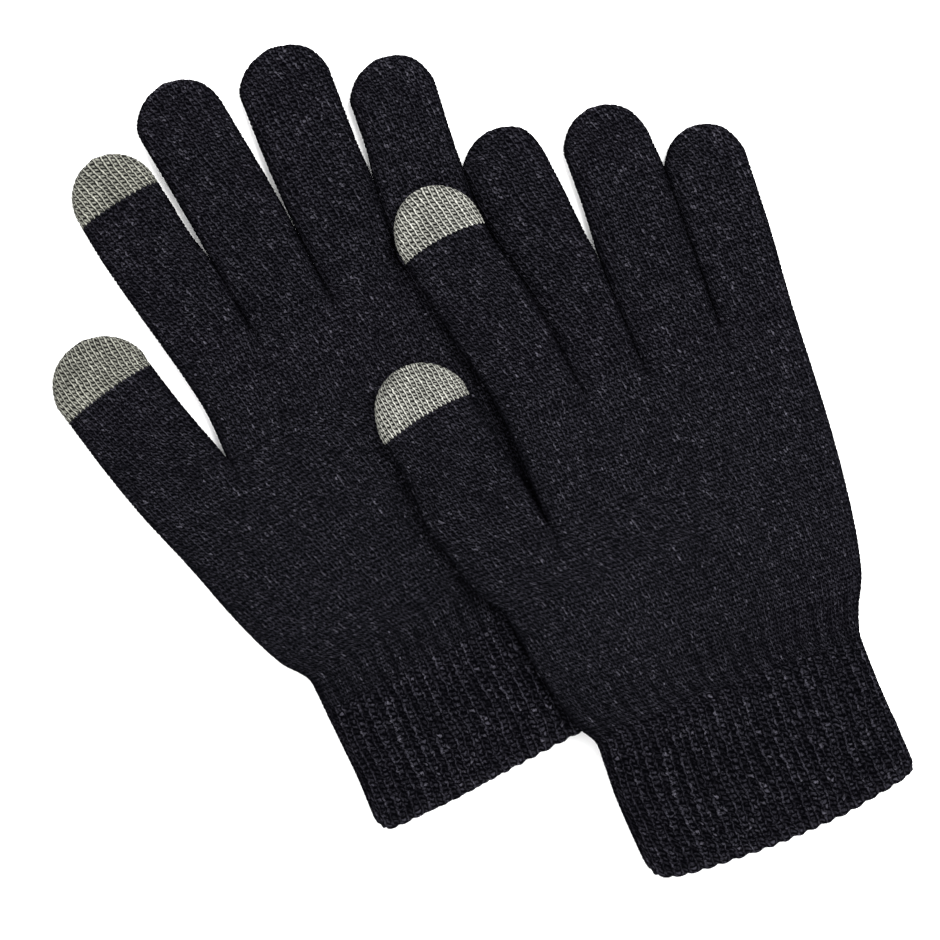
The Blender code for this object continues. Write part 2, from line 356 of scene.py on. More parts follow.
def stitch_height(u: np.ndarray, v: np.ndarray) -> np.ndarray:
    """Height of a plain stitch's two legs: a nearly unbroken left one and a short slanting right one.

    Args:
        u: place across, in wales.
        v: place along, in courses.

    Returns:
        0 in the gaps between legs, 1 on top of a leg.
    """
    x = u - np.floor(u)
    left = falling(np.abs(x - LEG.left), LEG.left_fall)
    left = left * (1 - LEG.dip + LEG.dip * np.cos(2 * np.pi * v))
    phase = v + LEG.slant * x
    right = falling(np.abs(x - LEG.right), LEG.right_fall)
    right = right * falling(np.abs(phase - np.floor(phase) - 0.5), LEG.length_fall)
    return np.maximum(left, right)


@dataclass
class Rows:
    """The cross-sections of a tube, from its start to its end, one entry of each array for each."""

    left: np.ndarray
    right: np.ndarray
    along: np.ndarray
    forward: np.ndarray
    height: np.ndarray
    side: np.ndarray
    wale_share: np.ndarray

    def joined(self, other: "Rows") -> "Rows":
        """These rows followed by another set."""
        names = self.__dataclass_fields__
        return Rows(*(np.concatenate([getattr(self, n), getattr(other, n)]) for n in names))

    @property
    def count(self) -> int:
        """How many rows there are."""
        return len(self.along)

    @property
    def width(self) -> np.ndarray:
        """Distance between the side edges at each row."""
        return np.linalg.norm(self.right - self.left, axis=1)


def rows_between(left: Edge, right: Edge, start: Line, end: Line, per_course: int, lay: Lay,
                 from_along: float) -> Rows:
    """Even rows from one line to another.

    Args:
        left: the tube's left edge.
        right: its right edge.
        start: line of the first row.
        end: line of the last row.
        per_course: mesh rows for each course of stitches.
        lay: how the fabric lies.
        from_along: distance from the glove's hem at the first row.

    Returns:
        The rows, both ends included.
    """
    first = (left.meet(start.y0, start.slope) + right.meet(start.y0, start.slope)) / 2
    last = (left.meet(end.y0, end.slope) + right.meet(end.y0, end.slope)) / 2
    length = float(np.linalg.norm(last - first))
    count = max(2, round(length / GAUGE.course * per_course)) + 1
    share = np.linspace(0, 1, count)
    y0 = start.y0 + (end.y0 - start.y0) * share
    slope = start.slope + (end.slope - start.slope) * share
    forward = np.stack([-slope, np.ones(count)], axis=1) / np.hypot(slope, 1)[:, None]
    outset = OUTSET * np.stack([forward[:, 1], -forward[:, 0]], axis=1)
    return Rows(
        left=left.meet(y0, slope) - outset,
        right=right.meet(y0, slope) + outset,
        along=from_along + length * share,
        forward=forward,
        height=np.full(count, lay.height),
        side=np.full(count, lay.side),
        wale_share=np.ones(count),
    )


def dome_rows(left: Edge, right: Edge, tip: tuple[float, float], per_course: int, lay: Lay,
              from_along: float) -> Rows:
    """Rows over a fingertip, which narrows and thins in a dome.

    Args:
        left: the digit's left edge, which the dome continues.
        right: its right edge.
        tip: the outermost point.
        per_course: mesh rows for each course of stitches.
        lay: how the fabric lies.
        from_along: distance from the glove's hem where the dome starts.

    Returns:
        The rows after the last full one.
    """
    middle, half = (left.end + right.end) / 2, (right.end - left.end) / 2
    half = half * (1 + OUTSET / np.linalg.norm(half))
    reach = np.array(tip) - middle
    length = float(np.linalg.norm(reach))
    square = np.array([reach[1], -reach[0]]) / length * np.linalg.norm(half)
    count = round(DOME.arc * length / GAUGE.course * per_course)
    angle = np.linspace(0, DOME.last_angle, count + 1)[1:]
    out, narrow = np.sin(angle), np.cos(angle)
    centre = middle + out[:, None] * reach * (1 + OUTSET / length)
    turned = smooth(out / DOME.squared_by)[:, None]
    across = narrow[:, None] * (half * (1 - turned) + square * turned)
    return Rows(
        left=centre - across,
        right=centre + across,
        along=from_along + length * out,
        forward=np.repeat((reach / length)[None], count, axis=0),
        height=lay.height * (1 - DOME.thinning * (1 - np.cos(angle))),
        side=lay.side * (1 - DOME.side_thinning * (1 - np.cos(angle))),
        wale_share=narrow,
    )


@dataclass(frozen=True)
class Bed:
    """What a glove lies on: the table, or the other glove, over whose right edge it drapes.

    rise is the other glove's height, and the fabric comes down from it over the width beside the
    edge. It is down everywhere up to clear_at, and fully raised from full_at on. Lengths are in
    millimetres.
    """

    rise: float = 0.0
    edge: Edge | None = None
    width: float = 24.0
    clear_at: float = -112.0
    full_at: float = -88.0

    def level(self, x: np.ndarray, y: np.ndarray) -> np.ndarray:
        """How far the fabric's underside is raised above the table.

        Args:
            x: drawn x of the points.
            y: drawn y of the points.

        Returns:
            The height of each.
        """
        if self.edge is None:
            return np.zeros_like(x)
        beside = 1 - smooth((x - self.edge.at(y)) / self.width)
        below = smooth((y - self.clear_at) / (self.full_at - self.clear_at))
        return self.rise * beside * below


@dataclass(frozen=True)
class Lobes:
    """Tubes that a palm divides into at its far end: where one ends and the next starts."""

    creases: tuple[tuple[float, float], ...] = ()
    run: float = 10.0


@dataclass(frozen=True)
class Seam:
    """A course where the yarn changes, which the stitches cross in small steps on an arched line.

    The arch and the steps pull the stitches along as far as their runs, in millimetres.
    """

    along: float
    arch: float
    step: float = 0.38
    arch_run: float = 13.0
    step_run: float = 1.6

    def shift(self, along: np.ndarray, share: np.ndarray, u: np.ndarray) -> np.ndarray:
        """How far the stitches near the seam lie beyond a straight line.

        Args:
            along: distance from the hem, for each row.
            share: 0 at the tube's left edge and 1 at its right, for each column.
            u: place across in wales.

        Returns:
            The shift towards the fingertip, in millimetres.
        """
        away = np.abs(along - self.along)
        bow = self.arch * (1 - (2 * share - 1) ** 2) * (1 - smooth(away / self.arch_run))
        tooth = np.abs(u - np.floor(u) - 0.5) * 4 - 1
        return bow - self.step * tooth * (1 - smooth(away / self.step_run))


@dataclass
class KnitTube:
    """One flat-lying knitted tube, open at both ends or closed by a domed tip.

    Lengths are in millimetres. A raised tube climbs to that height above the table, over its run, and
    a rolled start curls in at the hem.
    """

    OUTLINE_SAMPLES = 801
    RIB_START = 0.25
    RIB_SHARPNESS = 0.75
    UNDER_RIB = 0.5
    FAR_DROP_MIDDLE = 0.3
    FAR_DROP_WIDTH = 0.16
    TIP_FADE = 6.0
    LINING_ROWS = 9
    LINING_ROOM = 2.5
    LINING_SIDE = 4.0

    name: str
    rows: Rows
    wales: tuple[float, float]
    detail: Detail
    bed: Bed
    lay: Lay = FABRIC
    lobes: Lobes = field(default_factory=Lobes)
    seams: tuple[Seam, ...] = ()
    raised: float | None = None
    raised_from: float = 0.0
    raised_run: float = 20.0
    rib_depth: np.ndarray | None = None
    rib_wales: float = 4.0
    skew_from: float = 0.0
    relief: float = GAUGE.relief
    hem_shift: np.ndarray | None = None
    far_layer_drop: float = 0.0
    scallop: float = 0.0
    rolled_start: float = 0.0
    closed: bool = False

    def fullness(self, row: int, across: np.ndarray) -> np.ndarray:
        """How fully the tube stands up at places across one row.

        Args:
            row: which row.
            across: distances from the left edge.

        Returns:
            0 at the edges and creases, 1 where the fabric lies flat on top.
        """
        width, side = self.rows.width[row], self.rows.side[row]

        def between(start: float, end: float) -> np.ndarray:
            """Fullness of one lobe."""
            reach = min(side, (end - start) / 2)
            near = np.clip(np.minimum(across - start, end - across) / reach, 0, 1)
            return np.sqrt(1 - (1 - near) ** 2)

        whole = between(0, width)
        if not self.lobes.creases:
            return whole
        left, right = self.rows.left[row], self.rows.right[row]
        direction = (right - left) / width
        stops = [0.0, *(float((np.array(c) - left) @ direction) for c in self.lobes.creases), width]
        lobed = np.max([between(a, b) for a, b in zip(stops, stops[1:])], axis=0)
        to_end = self.rows.along[-1] - self.rows.along[row]
        fade = 1 - smooth(to_end / self.lobes.run)
        inside = np.maximum(lobed, self.lay.least)
        return np.minimum(whole, whole * (1 - fade) + inside * fade)

    def outline(self) -> tuple[np.ndarray, np.ndarray, np.ndarray, np.ndarray]:
        """The tube's smooth cross-sections.

        Returns:
            For the upper side and then the lower side: distance across and height of each column of
            each row. The upper side runs left to right and the lower side right to left.
        """
        above, below, _ = self.detail.value
        columns = max(4, round((self.wales[1] - self.wales[0]) * above))
        under_columns = max(4, round((self.wales[1] - self.wales[0]) * below))
        spread = (1 - np.cos(np.linspace(0, np.pi, self.OUTLINE_SAMPLES))) / 2
        found: list[list[np.ndarray]] = [[], [], [], []]
        for row in range(self.rows.count):
            across = spread * self.rows.width[row]
            full = self.fullness(row, across)
            full[0] = full[-1] = 0
            height, middle = self.rows.height[row], self.lay.middle
            top = height * (middle + (1 - middle) * full)
            bottom = height * middle * (1 - full)
            for side, heights, count in ((0, top, columns), (2, bottom, under_columns)):
                arc = np.concatenate([[0], np.cumsum(np.hypot(np.diff(across), np.diff(heights)))])
                even = np.linspace(0, arc[-1], count + 1)
                order = slice(None) if side == 0 else slice(None, None, -1)
                found[side].append(np.interp(even, arc, across)[order])
                found[side + 1].append(np.interp(even, arc, heights)[order])
        return tuple(np.array(f) for f in found)

    def stitch_places(self, columns: int, under: bool) -> tuple[np.ndarray, np.ndarray]:
        """Where each mesh column of each row lies in the knit.

        Args:
            columns: mesh columns on this side, less one.
            under: True for the lower side.

        Returns:
            Places across in wales, and along in courses.
        """
        start, end = self.wales
        middle, wales = (start + end) / 2, end - start
        share = np.linspace(-0.5, 0.5, columns + 1)
        u = middle + (wales if under else 0) + share[None] * wales * self.rows.wale_share[:, None]
        v = np.repeat(self.rows.along[:, None] / GAUGE.course, columns + 1, axis=1)
        u = u + GAUGE.skew * np.maximum(v - self.skew_from / GAUGE.course, 0)
        return u + WALE_DRIFT.swells(u, v, *SWAY.wales), v + COURSE_DRIFT.swells(u, v, *SWAY.courses)

    def inset(self, u: np.ndarray, v: np.ndarray, under: bool) -> np.ndarray:
        """How far the surface lies inside the fabric's outer envelope.

        Args:
            u: place across in wales.
            v: place along in courses.
            under: True for the lower side, whose ribs are pressed flatter.

        Returns:
            Depth in millimetres, never negative.
        """
        size = 1 + STITCH_SIZE.swells(u, v, SWAY.stitch)
        stitch = self.relief * size * (1 - stitch_height(u, v))
        if self.rib_depth is None:
            return stitch
        return stitch + self.rib_depth[:, None] * self.furrow(u) * (self.UNDER_RIB if under else 1)

    def rib_turn(self, u: np.ndarray) -> np.ndarray:
        """How many ribs there are before a place across, given in wales."""
        return u / self.rib_wales - self.RIB_START

    def furrow(self, u: np.ndarray) -> np.ndarray:
        """0 on the raised wales of the cuff's rib, rising to 1 in the middle of the sunk ones."""
        return 1 - np.abs(np.cos(np.pi * self.rib_turn(u))) ** self.RIB_SHARPNESS

    def painted_shade(self, height: np.ndarray, u: np.ndarray, under: bool) -> np.ndarray:
        """How much painted shade the yarn gets where the fabric round it keeps the light out.

        Args:
            height: height of the smooth cross-sections.
            u: place across in wales.
            under: True for the lower side.

        Returns:
            0 on open fabric, rising to 1 in a furrow or a crease.
        """
        middle = self.lay.middle
        lying = height / self.rows.height[:, None]
        full = 1 - lying / middle if under else (lying - middle) / (1 - middle)
        # Painted shade in the creases between lobes and along the tube's edges.
        crease = (1 - smooth(full / SHADE.crease_reach)) * SHADE.crease
        if self.rib_depth is None:
            return crease
        # Painted shade in the furrows between ribs, as deep as the ribs are.
        depth = np.clip(self.rib_depth[:, None] / SHADE.full_depth, 0, 1)
        furrow = smooth((self.furrow(u) - SHADE.furrow_start) / SHADE.furrow_run)
        return np.maximum(crease, SHADE.furrow * furrow * depth)

    def place(self, across: np.ndarray, height: np.ndarray, u: np.ndarray, under: bool) -> np.ndarray:
        """Turns cross-sections into points in space, in drawn millimetres.

        Args:
            across: distance from the left edge, for each row and column.
            height: height above what the tube lies on.
            u: place across in wales.
            under: True for the lower side.

        Returns:
            The points.
        """
        share = across / self.rows.width[:, None]
        flat = self.rows.left[:, None] + share[..., None] * (self.rows.right - self.rows.left)[:, None]
        push = np.zeros_like(share)
        for seam in self.seams:
            push += seam.shift(self.rows.along[:, None], share, u)
        flat = flat + push[..., None] * self.rows.forward[:, None]
        if self.hem_shift is not None:
            curve = self.hem_curve_at(share)
            if under:
                away = (share - self.FAR_DROP_MIDDLE) / self.FAR_DROP_WIDTH
                curve = curve - self.far_layer_drop * np.exp(-(away**2))
            curve = curve - self.scallop * np.cos(2 * np.pi * self.rib_turn(u))
            flat[..., 1] += curve * self.hem_shift[:, None]
        x, y = flat[..., 0], flat[..., 1]
        level = self.bed.level(x, y)
        if self.raised is not None:
            settle = smooth((self.rows.along - self.raised_from) / self.raised_run)[:, None]
            level = level + (self.raised - level) * settle
        lying = height / self.rows.height[:, None]
        if not under:
            gain, loss = self.lay.wrinkle_fade
            height = height - self.sag(x, y) * smooth(lying * gain - loss)
        return np.stack([x, y, height + level], axis=-1)

    def sag(self, x: np.ndarray, y: np.ndarray) -> np.ndarray:
        """How far the upper side sinks in its wrinkles, at places on the table."""
        (broad_depth, broad_size), (fine_depth, fine_size) = self.lay.broad_wrinkle, self.lay.fine_wrinkle
        broad = 0.5 + 0.5 * WRINKLES.at(x, y, broad_size)
        apart = self.lay.wrinkles_apart
        fine = 0.5 + 0.5 * WRINKLES.at(x + apart[0], y + apart[1], fine_size)
        return (broad_depth * broad + fine_depth * fine) * self.lay.wrinkle

    def hem_curve_at(self, share: np.ndarray) -> np.ndarray:
        """The hem's curve across the cuff; a plain tube has none."""
        return np.zeros_like(share)

    def build(self) -> bpy.types.Object:
        """Makes the tube's mesh: its stitched outside, its plain lining and the rims between.

        Returns:
            The new object, in the row frame.
        """
        top_across, top_height, low_across, low_height = self.outline()
        top_u, top_v = self.stitch_places(top_across.shape[1] - 1, under=False)
        low_u, low_v = self.stitch_places(low_across.shape[1] - 1, under=True)
        top = self.place(top_across, top_height, top_u, under=False)
        low = self.place(low_across, low_height, low_u, under=True)
        skin = np.concatenate([top, low[:, 1:-1]], axis=1)
        depth = [self.inset(top_u, top_v, under=False), self.inset(low_u, low_v, under=True)[:, 1:-1]]
        depth = np.concatenate(depth, axis=1)
        if self.closed:
            depth *= smooth(self.rows.width / self.TIP_FADE)[:, None]
        if self.rolled_start:
            into = np.clip(1 - (self.rows.along - self.rows.along[0]) / self.rolled_start, 0, 1)
            depth += self.rolled_start * (1 - np.sqrt(1 - into**2))[:, None]
        outside = skin - depth[..., None] * self.outward(skin)

        lining, picked = self.lining(top_across, top_height, low_across, low_height)
        mesh = TubeMesh(outside, lining, self.closed)
        places = (np.stack([top_u, top_v], -1), np.stack([low_u, low_v], -1))
        mesh.map_stitches(places, tuple(grid[picked] for grid in places))
        painted_shade = [self.painted_shade(top_height, top_u, under=False),
                  self.painted_shade(low_height, low_u, under=True)[:, 1:-1]]
        mesh.shade_skin(np.concatenate(painted_shade, axis=1))
        return mesh.make(self.name)

    def outward(self, skin: np.ndarray) -> np.ndarray:
        """Unit vectors that point out of the tube at each point of its skin."""
        along = np.gradient(skin, axis=0)
        around = np.roll(skin, -1, axis=1) - np.roll(skin, 1, axis=1)
        out = np.cross(around, along)
        return out / np.maximum(np.linalg.norm(out, axis=2, keepdims=True), 1e-9)

    def lining(self, top_across: np.ndarray, top_height: np.ndarray, low_across: np.ndarray,
               low_height: np.ndarray) -> tuple[np.ndarray, np.ndarray]:
        """The tube's plain inside, a wall's thickness in from its skin.

        Args:
            top_across: distance across of the upper side's columns.
            top_height: their heights.
            low_across: distance across of the lower side's columns.
            low_height: their heights.

        Returns:
            Points of the inside's rows, fewer than the skin's, and which rows they are.
        """
        wall = self.lay.wall
        wide = self.rows.width > 2 * wall + self.LINING_ROOM
        last = int(np.nonzero(wide)[0][-1])
        picked = np.unique(np.linspace(0, last, self.LINING_ROWS).round().astype(int))
        rows = self.rows
        thin = Rows(*(getattr(rows, n)[picked] for n in rows.__dataclass_fields__))
        hem_shift = None if self.hem_shift is None else self.hem_shift[picked]
        inner = replace(self, rows=thin, hem_shift=hem_shift)
        sides = []
        shrink = 1 - 2 * wall / self.lay.height
        for across, height, under in ((top_across, top_height, False), (low_across, low_height, True)):
            across, height = across[picked], height[picked]
            width = thin.width[:, None]
            inner_across = wall + (width - 2 * wall) * across / width
            middle = thin.height[:, None] * self.lay.middle
            middle = middle + (thin.height[:, None] / 2 - middle) * np.clip(across / self.LINING_SIDE, 0, 1)
            inner_height = middle + (height - middle) * shrink
            u, _ = self.stitch_places(across.shape[1] - 1, under)
            sides.append(inner.place(inner_across, inner_height, u[picked], under))
        return np.concatenate([sides[0], sides[1][:, 1:-1]], axis=1), picked


class TubeMesh:
    """Turns rows of points, outside and lining, into one closed mesh with a map of its stitches."""

    def __init__(self, skin: np.ndarray, lining: np.ndarray, closed: bool) -> None:
        """Numbers the points and lists the faces.

        Args:
            skin: outside points by row and column.
            lining: inside points by row and column.
            closed: True if the last rows are closed at the tip.
        """
        self.ring = skin.shape[1]
        self.skin_rows = skin.shape[0]
        self.points = np.concatenate([skin.reshape(-1, 3), lining.reshape(-1, 3)])
        self.skin_quads = self.quads(0, self.skin_rows)
        base = skin.shape[0] * self.ring
        inside = self.quads(base, lining.shape[0])[:, ::-1]
        self.plain = [inside, self.rim(0, base)]
        self.fans: list[np.ndarray] = []
        last = base + (lining.shape[0] - 1) * self.ring
        tip = (self.skin_rows - 1) * self.ring
        if closed:
            self.fan(tip, skin[-1].mean(axis=0), forward=True)
            self.fan(last, lining[-1].mean(axis=0), forward=False)
        else:
            self.plain.append(self.rim(tip, last)[:, ::-1])
        self.rims = (0, base) if closed else (0, base, tip, last)
        self.closed = closed
        self.skin_map: tuple[np.ndarray, ...] = ()
        self.lining_map: tuple[np.ndarray, ...] = ()
        self.painted_shade = np.zeros(0)

    def quads(self, base: int, rows: int) -> np.ndarray:
        """Corner numbers of the faces between rows of one surface.

        Args:
            base: number of its first point.
            rows: how many rows it has.

        Returns:
            One row of four numbers for each face.
        """
        row, column = np.meshgrid(np.arange(rows - 1), np.arange(self.ring), indexing="ij")
        following = (column + 1) % self.ring
        corner = base + row * self.ring
        faces = [corner + column, corner + following, corner + self.ring + following,
                 corner + self.ring + column]
        return np.stack(faces, axis=-1).reshape(-1, 4)

    def rim(self, outer: int, inner: int) -> np.ndarray:
        """Faces between an outer ring and an inner one, given their first points' numbers."""
        column = np.arange(self.ring)
        following = (column + 1) % self.ring
        return np.stack([inner + column, inner + following, outer + following, outer + column], axis=-1)

    def fan(self, first: int, middle: np.ndarray, forward: bool) -> None:
        """Closes a ring with triangles round its middle.

        Args:
            first: number of the ring's first point.
            middle: the new point.
            forward: True on the skin, False on the lining.
        """
        centre = len(self.points)
        self.points = np.concatenate([self.points, middle[None]])
        column = np.arange(self.ring)
        following = (column + 1) % self.ring
        corners = [first + column, first + following, np.full(self.ring, centre)]
        self.fans.append(np.stack(corners if forward else corners[::-1], axis=-1))

    def map_stitches(self, skin: tuple[np.ndarray, ...], lining: tuple[np.ndarray, ...]) -> None:
        """Keeps the stitches' places on the outside and the inside, each as upper and lower side."""
        self.skin_map, self.lining_map = skin, lining

    def shade_skin(self, painted_shade: np.ndarray) -> None:
        """Keeps how much painted shade each point of the skin gets."""
        self.painted_shade = painted_shade.ravel()

    @staticmethod
    def quad_places(grids: tuple[np.ndarray, ...]) -> np.ndarray:
        """The stitch places of the corners of the faces between rows, in the faces' order."""
        corners = []
        for grid in grids:
            near, far = grid[:-1], grid[1:]
            corners.append(np.stack([near[:, :-1], near[:, 1:], far[:, 1:], far[:, :-1]], axis=2))
        return np.concatenate(corners, axis=1).reshape(-1, 4, 2)

    def ring_places(self, row: int) -> tuple[np.ndarray, np.ndarray]:
        """The stitch places of both ends of each of a row's sides, all the way round the skin."""
        ends = [(grid[row, :-1], grid[row, 1:]) for grid in self.skin_map]
        return np.concatenate([e[0] for e in ends]), np.concatenate([e[1] for e in ends])

    def rim_places(self, row: int, beyond: float) -> np.ndarray:
        """The stitch places of a rim's corners.

        Args:
            row: the skin's row at the rim, first or last.
            beyond: how many courses further the rim's inner edge is.

        Returns:
            Two numbers for each corner of each face.
        """
        one, other = self.ring_places(row)
        inward = np.array([0.0, beyond])
        return np.stack([one + inward, other + inward, other, one], axis=1)

    def stitch_map(self) -> np.ndarray:
        """The stitch place of each face corner, in the mesh's order."""
        places = [self.quad_places(self.skin_map), self.quad_places(self.lining_map)[:, ::-1],
                  self.rim_places(0, -1.0)]
        if not self.closed:
            return np.concatenate([*places, self.rim_places(-1, 1.0)[:, ::-1]]).reshape(-1, 2)
        one, other = self.ring_places(-1)
        fan = np.stack([one, other, (one + other) / 2], axis=1)
        flat = [np.concatenate(places).reshape(-1, 2), fan.reshape(-1, 2), fan[:, ::-1].reshape(-1, 2)]
        return np.concatenate(flat)

    def make(self, name: str) -> bpy.types.Object:
        """Creates the object.

        Args:
            name: the piece's name.

        Returns:
            The object, in the row frame and in metres.
        """
        quads = np.concatenate([self.skin_quads, *self.plain])
        fans = np.concatenate(self.fans) if self.fans else np.zeros((0, 3), int)
        points = self.points - np.array([*DRAWN_MIDDLE, 0.0])
        split = np.concatenate([quads[:, [0, 1, 2]], quads[:, [0, 2, 3]], fans])
        a, b, c = (points[split[:, i]] for i in range(3))
        if np.einsum("ij,ij->i", a, np.cross(b, c)).sum() < 0:
            raise ValueError(f"{name} is inside out")
        mesh = bpy.data.meshes.new(name)
        mesh.vertices.add(len(points))
        mesh.vertices.foreach_set("co", (points * MM).astype(np.float32).ravel())
        loops = np.concatenate([quads.ravel(), fans.ravel()])
        mesh.loops.add(len(loops))
        mesh.loops.foreach_set("vertex_index", loops.astype(np.int32))
        sizes = np.concatenate([np.full(len(quads), 4), np.full(len(fans), 3)])
        starts = np.concatenate([[0], np.cumsum(sizes)[:-1]])
        mesh.polygons.add(len(sizes))
        mesh.polygons.foreach_set("loop_start", starts.astype(np.int32))
        mesh.update(calc_edges=True)
        mesh.polygons.foreach_set("use_smooth", np.ones(len(sizes), bool))
        self.write_maps(mesh)
        self.sharpen_rims(mesh)
        mesh.validate()
        item = bpy.data.objects.new(name, mesh)
        bpy.context.scene.collection.objects.link(item)
        return item

    def write_maps(self, mesh: bpy.types.Mesh) -> None:
        """Writes the stitches' places and the painted shade as the mesh's own maps."""
        layer = mesh.uv_layers.new(name=STITCH_MAP)
        layer.uv.foreach_set("vector", self.stitch_map().astype(np.float32).ravel())
        shade = np.zeros(len(mesh.vertices), np.float32)
        shade[: len(self.painted_shade)] = self.painted_shade
        mesh.attributes.new(PAINTED_SHADE_MAP, "FLOAT", "POINT").data.foreach_set("value", shade)

    def sharpen_rims(self, mesh: bpy.types.Mesh) -> None:
        """Marks the edges of both rims sharp, so that the skin's shading runs on past them."""
        ends = np.zeros(len(mesh.edges) * 2, np.int32)
        mesh.edges.foreach_get("vertices", ends)
        ends = ends.reshape(-1, 2)
        sharp = np.zeros(len(mesh.edges), bool)
        for first in self.rims:
            sharp |= ((ends >= first) & (ends < first + self.ring)).all(axis=1)
        attribute = mesh.attributes.new("sharp_edge", "BOOLEAN", "EDGE")
        attribute.data.foreach_set("value", sharp)


def add_node(tree: bpy.types.NodeTree, kind: str, inputs: dict | None = None, **settings: object
             ) -> bpy.types.Node:
    """Adds a node with its settings and links.

    Args:
        tree: the material's node tree.
        kind: the node's type name.
        inputs: for an input's name or number, the value to set or the socket to link.
        settings: the node's own properties.

    Returns:
        The node.
    """
    made = tree.nodes.new(kind)
    for name, value in settings.items():
        setattr(made, name, value)
    for key, value in (inputs or {}).items():
        if isinstance(value, bpy.types.NodeSocket):
            tree.links.new(value, made.inputs[key])
        else:
            made.inputs[key].default_value = value
    return made


@dataclass(frozen=True)
class Yarn:
    """A yarn as it shows in plain knit: its colours, its stitches' contrast and its surface.

    The first colour, gap, is the one between the legs: partly the holes there and partly painted shade in
    them, and it is also what painted shade in furrows and creases darkens towards. leg is the legs' own
    colour, and the third colour is a painted glint on the few shiniest stitches. The numbers from left_leg
    on, before the two surface ones, say how strong each trait is: how bright each leg is, how much stitches
    differ, how much fibres darken them, how many stitches they stray by, how much painted shade furrows and
    creases get, and how bright the painted glints are.
    """

    # Widths in millimetres of a bend in a thread, of a tuft of fibres and of a worn patch. Single
    # fibres are too fine to show, so the tufts are as fine as it gets.
    BEND = 1.1
    TUFT = 0.63
    PATCH = 9.0
    # Only about one stitch in twenty comes near the painted glint's colour.
    GLINT_RARITY = 20.0
    BUMP_DEPTH = 0.25

    name: str
    slot: str
    gap: str
    leg: str
    glint: str
    left_leg: float
    right_leg: float
    patchiness: float
    grain: float
    stray: float
    painted_shade: float
    glints: float
    roughness: float
    specular: float

    def material(self) -> bpy.types.Material:
        """The yarn's material, made once.

        Returns:
            A material whose colour, bump and fibres follow the mesh's own stitches.
        """
        known = bpy.data.materials.get(self.name)
        if known:
            return known
        made = bpy.data.materials.new(self.name)
        made.use_nodes = True
        tree = made.node_tree
        tree.nodes.clear()

        def sums(operation: str, *values: object) -> bpy.types.NodeSocket:
            """One Math node's result."""
            return add_node(tree, "ShaderNodeMath", dict(enumerate(values)), operation=operation).outputs[0]

        def window(value: object, fall: tuple[float, float]) -> bpy.types.NodeSocket:
            """1 where a value is under the fall's start, easing to 0 at its end."""
            inputs = {"Value": value, "From Min": fall[0], "From Max": fall[1], "To Min": 1.0, "To Max": 0.0}
            ramp = add_node(tree, "ShaderNodeMapRange", inputs, interpolation_type="SMOOTHSTEP")
            return ramp.outputs["Result"]

        def noise(vector: bpy.types.NodeSocket, width: float, detail: float, rough: float = 0.5
                  ) -> bpy.types.Node:
            """A noise whose swells have this width in millimetres."""
            inputs = {"Vector": vector, "Scale": GAUGE.course / width, "Detail": detail, "Roughness": rough}
            return add_node(tree, "ShaderNodeTexNoise", inputs, noise_dimensions="2D")

        drawn = add_node(tree, "ShaderNodeUVMap", uv_map=STITCH_MAP).outputs["UV"]
        stray = noise(drawn, self.BEND, 2.0).outputs["Color"]
        stray = add_node(tree, "ShaderNodeVectorMath", {0: stray, 1: (0.5, 0.5, 0.5)},
                         operation="SUBTRACT").outputs[0]
        place = add_node(tree, "ShaderNodeVectorMath",
                         {0: stray, 1: (self.stray, self.stray, 0.0), 2: drawn},
                         operation="MULTIPLY_ADD").outputs[0]
        split = add_node(tree, "ShaderNodeSeparateXYZ", {0: place})
        u, v = split.outputs["X"], split.outputs["Y"]
        x = sums("FRACT", u)

        beside_left = sums("ABSOLUTE", sums("SUBTRACT", x, LEG.left))
        wave = sums("COSINE", sums("MULTIPLY", v, 2 * math.pi))
        dip = sums("MULTIPLY_ADD", wave, LEG.dip_tint, 1 - LEG.dip_tint)
        left = sums("MULTIPLY", window(beside_left, LEG.left_tint), dip)
        left = sums("MULTIPLY", left, self.left_leg)
        beside_right = sums("ABSOLUTE", sums("SUBTRACT", x, LEG.right))
        slanting = sums("MULTIPLY_ADD", x, LEG.slant, v)
        from_middle = sums("ABSOLUTE", sums("SUBTRACT", sums("FRACT", slanting), 0.5))
        right = sums("MULTIPLY", window(beside_right, LEG.right_tint), window(from_middle, LEG.length_tint))
        right = sums("MULTIPLY", right, self.right_leg)
        legs = sums("MAXIMUM", left, right)

        which = add_node(tree, "ShaderNodeCombineXYZ", {0: sums("FLOOR", sums("MULTIPLY", u, 2.0)),
                                                        1: sums("FLOOR", slanting)}).outputs[0]
        chance = add_node(tree, "ShaderNodeTexWhiteNoise", {"Vector": which}, noise_dimensions="2D")
        fibre = window(noise(place, self.TUFT, 3.0, 0.75).outputs[0], (0.68, 0.32))
        patch = noise(place, self.PATCH, 2.0).outputs[0]

        strength = sums("MULTIPLY_ADD", chance.outputs["Value"], self.patchiness, 1 - self.patchiness)
        strength = sums("MULTIPLY", strength, sums("MULTIPLY_ADD", patch, 0.6, 0.7))
        grain = sums("MULTIPLY_ADD", fibre, -self.grain, 1.0)
        shade = sums("MULTIPLY", sums("MULTIPLY", legs, strength), grain)
        # Between the legs the colour goes to the dark gap colour: partly the holes, partly painted shade in
        # them.
        body = add_node(tree, "ShaderNodeMix", {0: shade, 6: linear(self.gap), 7: linear(self.leg)},
                        data_type="RGBA").outputs[2]
        # Painted glint: a few random stitches' legs are painted towards the paler third colour.
        bright = sums("POWER", chance.outputs["Value"], self.GLINT_RARITY)
        bright = sums("MULTIPLY", sums("MULTIPLY", bright, legs), self.glints)
        bright = sums("MULTIPLY", bright, sums("SUBTRACT", 1.0, fibre))
        glinted = add_node(tree, "ShaderNodeMix", {0: bright, 6: body, 7: linear(self.glint)},
                           data_type="RGBA").outputs[2]
